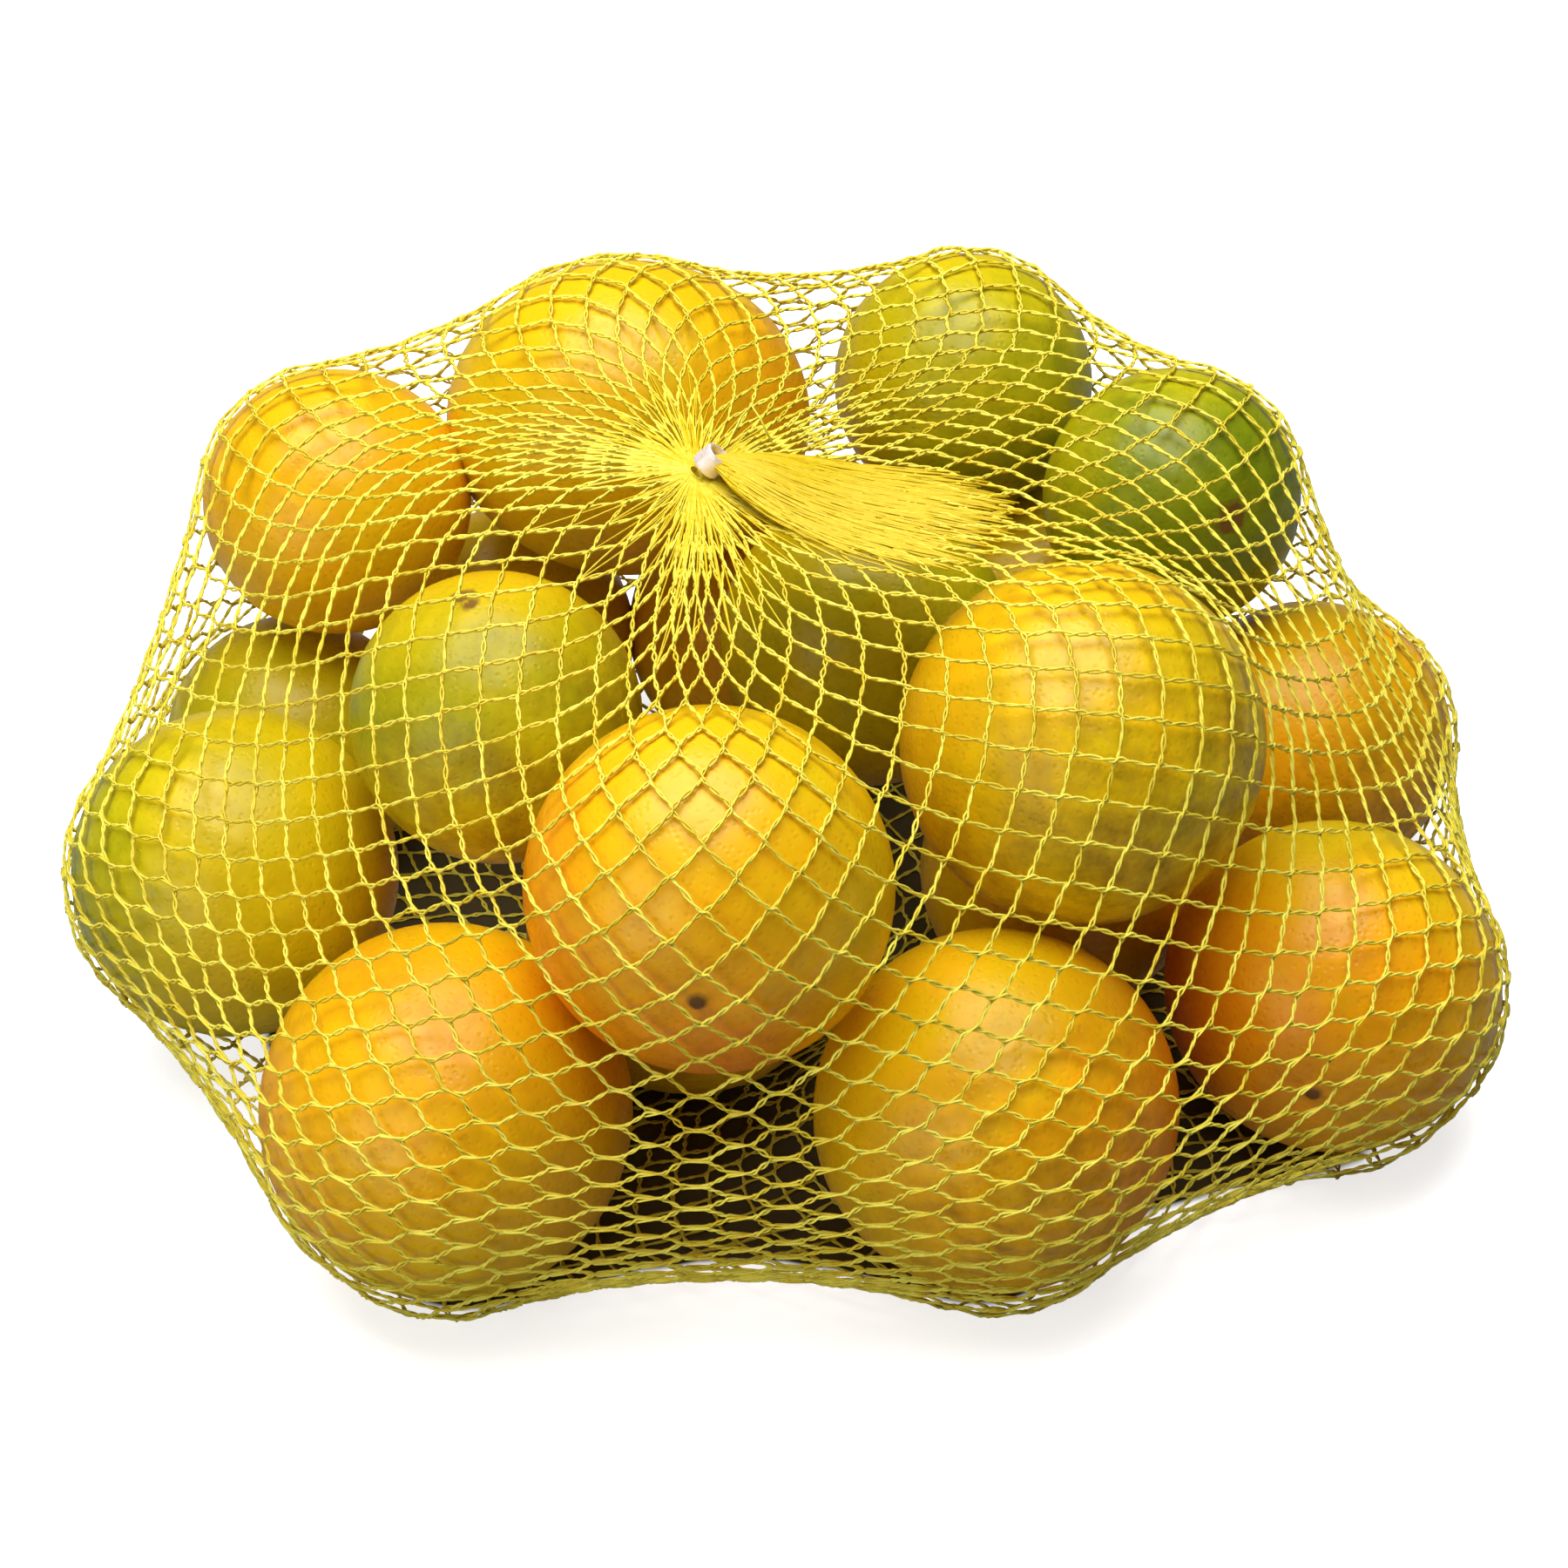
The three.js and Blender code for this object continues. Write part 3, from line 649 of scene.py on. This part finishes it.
clip_metal = clip_material()
top_clip = clip_mesh("crimped_clip", CLIP_MIDDLE, clip_axis, clip_across)
add_piece("crimped_clip", top_clip, clip_metal, "clip_metal", "clip")


# The tail: the spare net beyond the clip. Its strands come out of the clip in a tight neck, bend over
# and open to a thin fan on the right of the bag, cut off raggedly. A short loop of it sticks up behind.

TAIL_STRANDS = 560
TAIL_YARN = 0.22                         # mm
TAIL_TURN = math.radians(-14)
TAIL_LENGTH = (14.0, 66.0)
TAIL_ROUNDED = 0.15                      # how much shorter the strands at its two edges are
TAIL_FOOT = 0.4                          # of the clip's height, below its middle, where they start
TAIL_LIES = 0.3                          # mm above the net, at the cut ends
TAIL_TONES = (-0.4, 0.2)
FAN_START = 6.0
SIDE_LOW, SIDE_HIGH = -1.1, 1.1          # from the front edge of the fan to the back one
SPREAD, SPREAD_REACH, FLARE = 9.0, 8.0, 0.22
LAY = 0.12                               # how far strands cross over each other, like the net's
PUFF, PUFF_REACH = 5.0, 15.0             # the fan stands off the net near the neck
PUFF_EDGES = 0.35                        # and this much less at its two edges
NECK_ARCH = 9.0                          # how strongly the neck stands up before it bends over
TAIL_LAYERS = 0.8                        # from the lowest strand to the highest, near the neck
TAIL_WIGGLE, TAIL_WAVE = 0.25, 9.0
NECK_STEPS, FAN_STEPS = 8, 22
# the short loop that sticks up, in mm from the clip's middle
CUT_LOOP = [(1.5, 2, 1), (3, 7, -1), (6, 12, 3), (8, 15, 3.6), (10, 14, 1), (12.5, 11, -3)]

tail_way = np.array([math.cos(TAIL_TURN), math.sin(TAIL_TURN), 0.0])
tail_across = np.array([-math.sin(TAIL_TURN), math.cos(TAIL_TURN), 0.0])
tail_draw = np.random.default_rng(21)
net_numbers = np.arange(knots.shape[0] * CELLS_ROUND).reshape(-1, CELLS_ROUND)
cells = [net_numbers[:-1], net_numbers[row_numbers[:-1] + 1, below_left[:-1]],
         net_numbers[row_numbers[:-1] + 1, below_right[:-1]], np.roll(net_numbers[:-1], -1, axis=1)]
halves = [np.stack(cells[:3], axis=-1), np.stack([cells[0], cells[2], cells[3]], axis=-1)]
halves = np.concatenate(halves).reshape(-1, 3)
net_skin = BVHTree.FromPolygons(knots.reshape(-1, 3).tolist(), halves.tolist())


def net_height(x, y):
    hit = net_skin.ray_cast(Vector((x, y, 2 * CLIP_MIDDLE[2])), Vector((0, 0, -1)))
    return hit[0].z


def tail_line(side, length, layer, ring_turn):
    """One strand: out of the clip along its axis, over in an arch, and down onto the net."""
    wave = tail_draw.uniform(0, 2 * math.pi)
    lay = LAY * tail_draw.choice((-1, 1))
    fan = []
    for share in np.linspace(0, 1, FAN_STEPS):
        reach = FAN_START + (length - FAN_START) * share
        off = SPREAD * (1 - math.exp(-reach / SPREAD_REACH)) + FLARE * reach
        off *= side + lay * reach / TAIL_LENGTH[1]
        off += TAIL_WIGGLE * math.cos(math.pi * reach / TAIL_WAVE + wave)
        x, y, _ = CLIP_MIDDLE + reach * tail_way + off * tail_across
        puff = PUFF * math.exp(-((reach - FAN_START) / PUFF_REACH) ** 2) * (1 - PUFF_EDGES * side * side)
        above = TAIL_LIES + layer * TAIL_LAYERS * (1 - share)
        fan.append((x, y, net_height(x, y) + puff + above))
    fan = np.array(fan)
    ring = math.cos(ring_turn) * clip_across + math.sin(ring_turn) * np.array([0.0, 1.0, 0.0])
    foot = CLIP_MIDDLE - TAIL_FOOT * CLIP_HEIGHT * clip_axis + NECK_RADIUS * math.sqrt(layer) * ring
    onward = NECK_ARCH * unit(fan[1] - fan[0])
    shares = np.arange(NECK_STEPS) / NECK_STEPS
    neck = [curve_between(foot, NECK_ARCH * clip_axis, fan[0], onward, share) for share in shares]
    return np.concatenate([neck, fan])


def yarn_piece(name, lines, radius, tones):
    """Single yarns along lines that lie more or less level."""
    runs = unit(np.gradient(lines, axis=0))
    sides = unit(np.cross(np.array([0.0, 0.0, 1.0]) + 0 * runs, runs))
    mesh = tube_mesh(name, lines, sides, unit(np.cross(runs, sides)), radius)
    paint(mesh, "tone", np.broadcast_to(tones[:, None, None], (lines.shape[1], lines.shape[0], 3)))
    add_piece(name, mesh, net_plastic, "net", "net_bag")


tail_lines = []
for share in (np.arange(TAIL_STRANDS) + tail_draw.uniform(0, 1, TAIL_STRANDS)) / TAIL_STRANDS:
    side = SIDE_LOW + (SIDE_HIGH - SIDE_LOW) * share
    length = tail_draw.uniform(*TAIL_LENGTH) * (1 - TAIL_ROUNDED * side * side)
    tail_lines.append(tail_line(side, length, tail_draw.random(), tail_draw.uniform(0, 2 * math.pi)))
tail_tones = tail_draw.uniform(*TAIL_TONES, TAIL_STRANDS)
yarn_piece("tail", np.stack(tail_lines, axis=1), TAIL_YARN, tail_tones)
cut_loop = CLIP_MIDDLE + np.array(CUT_LOOP)[:, None, :]
yarn_piece("tail_loop", cut_loop, YARN_RADII[1], np.ones(1))


# The closure underneath: the tube of net starts in a gather like the top one, with a clip of the
# same kind, on the table under the bag.

UNDER_CLIP_SINKS = 0.4                   # mm into its gather

under_middle = UNDER_GATHER + np.array([0.0, 0.0, 0.5 * CLIP_HEIGHT - UNDER_CLIP_SINKS])
under_clip = clip_mesh("under_clip", under_middle, np.array([0.0, 0.0, 1.0]), view_right)
add_piece("under_clip", under_clip, clip_metal, "clip_metal", "net_bag")


# The studio: a white table top that throws little light back, a large soft light overhead, a weaker one
# at the left front, a faint glow all round, and the camera where the photograph was taken from.

FLOOR_REACH = 3.0                        # m
FLOOR_WHITE, FLOOR_BOUNCE, FLOOR_GLOW = 0.9, 0.3, 0.7
FLOOR_SHADE = (74, 63, 30)               # under the bag, where the light comes off fruit and net
FLOOR_SHADE_EDGE = 0.98                  # of the bag's outline, from where the table is white
FLOOR_SPOKES = 144
CLEAR_OF_BAG = 220.0                     # mm
UNDER_TABLE = Vector((0.0, 0.0, 0.5))
CAMERA_TARGET = np.array([0.0, 0.0, 64.0])
CAMERA_AWAY, CAMERA_LENS = 900.0, 94.74  # mm
ROOM_GLOW = 0.07


def soft_light(name, place, aim, size, power):
    lamp = bpy.data.lights.new(name, "AREA")
    lamp.shape = "SQUARE"
    lamp.size = size
    lamp.energy = power
    light = bpy.data.objects.new(name, lamp)
    light.location = place
    light.rotation_euler = (Vector(aim) - Vector(place)).to_track_quat("-Z", "Y").to_euler()
    bpy.context.scene.collection.objects.link(light)


def floor_material():
    """White to the eye out from the bag, and in its own shade under it."""
    material, tree, shader = new_material("white_table")
    seen = add_node(tree, "LightPath").outputs["Is Camera Ray"]
    clear = add_node(tree, "Attribute", attribute_name="clear").outputs["Fac"]
    lit = mixed(tree, clear, colour(*FLOOR_SHADE), (FLOOR_WHITE, FLOOR_WHITE, FLOOR_WHITE, 1.0))
    tint = mixed(tree, seen, (FLOOR_BOUNCE, FLOOR_BOUNCE, FLOOR_BOUNCE, 1.0), lit)
    tree.links.new(tint, shader.inputs["Base Color"])
    bright = reckon(tree, "MULTIPLY", seen, clear)
    tree.links.new(reckon(tree, "MULTIPLY", bright, FLOOR_GLOW), shader.inputs["Emission Strength"])
    shader.inputs["Emission Color"].default_value = (1.0, 1.0, 1.0, 1.0)
    shader.inputs["Roughness"].default_value = 0.9
    return material


def shaded_reach(turn):
    """How far out that way the table is in the bag's shade: to where no net lies or hangs over it."""
    out = Vector((math.cos(turn), math.sin(turn), 0.0))
    over = out * math.cos(VIEW_RISE) + Vector((0.0, 0.0, math.sin(VIEW_RISE)))
    reach = CLEAR_OF_BAG
    while net_skin.ray_cast(reach * out - UNDER_TABLE, over)[0] is None:
        reach -= 1.0
    return reach * MM


def table_top(name):
    """Rings round the foot of the bag: two close to its outline and one far out."""
    turns = np.linspace(0, 2 * math.pi, FLOOR_SPOKES, endpoint=False)
    spokes = np.stack([np.cos(turns), np.sin(turns)], axis=1)
    middle = placed(np.zeros(3))[:2]
    outline = np.array([shaded_reach(turn) for turn in turns])
    rings = [FLOOR_SHADE_EDGE * outline, outline, np.full(FLOOR_SPOKES, FLOOR_REACH)]
    points = np.concatenate([middle + ring[:, None] * spokes for ring in rings])
    points = np.pad(points, ((0, 0), (0, 1)))
    numbers = np.arange(3 * FLOOR_SPOKES).reshape(3, FLOOR_SPOKES)
    ahead = np.roll(numbers, -1, axis=1)
    quads = np.stack([numbers[:-1], numbers[1:], ahead[1:], ahead[:-1]], axis=-1)
    mesh = bpy.data.meshes.new(name)
    mesh.from_pydata(points, [], [numbers[0].tolist()] + quads.reshape(-1, 4).tolist())
    paint(mesh, "clear", np.repeat([0, 1, 1], FLOOR_SPOKES))
    mesh.materials.append(floor_material())
    return mesh


floor_mesh = table_top("table_top")
floor = bpy.data.objects.new("table_top", floor_mesh)
bpy.context.scene.collection.objects.link(floor)

soft_light("overhead", (-0.12, 0.08, 1.3), (0, 0, 0), 1.25, 26.5)
soft_light("left_front", (-0.75, -0.95, 0.35), (0, 0, 0.05), 1.0, 5.5)
world = bpy.data.worlds.new("studio")
world.use_nodes = True
world.node_tree.nodes["Background"].inputs["Color"].default_value = (1, 1, 1, 1)
world.node_tree.nodes["Background"].inputs["Strength"].default_value = ROOM_GLOW
bpy.context.scene.world = world

lens = bpy.data.cameras.new("camera")
lens.lens = CAMERA_LENS
lens.sensor_width = 36.0
camera = bpy.data.objects.new("camera", lens)
camera.location = placed(CAMERA_TARGET + CAMERA_AWAY * view_near)
camera.rotation_euler = Vector(-view_near).to_track_quat("-Z", "Y").to_euler()
bpy.context.scene.collection.objects.link(camera)
bpy.context.scene.camera = camera
bpy.context.scene.view_settings.view_transform = "Standard"
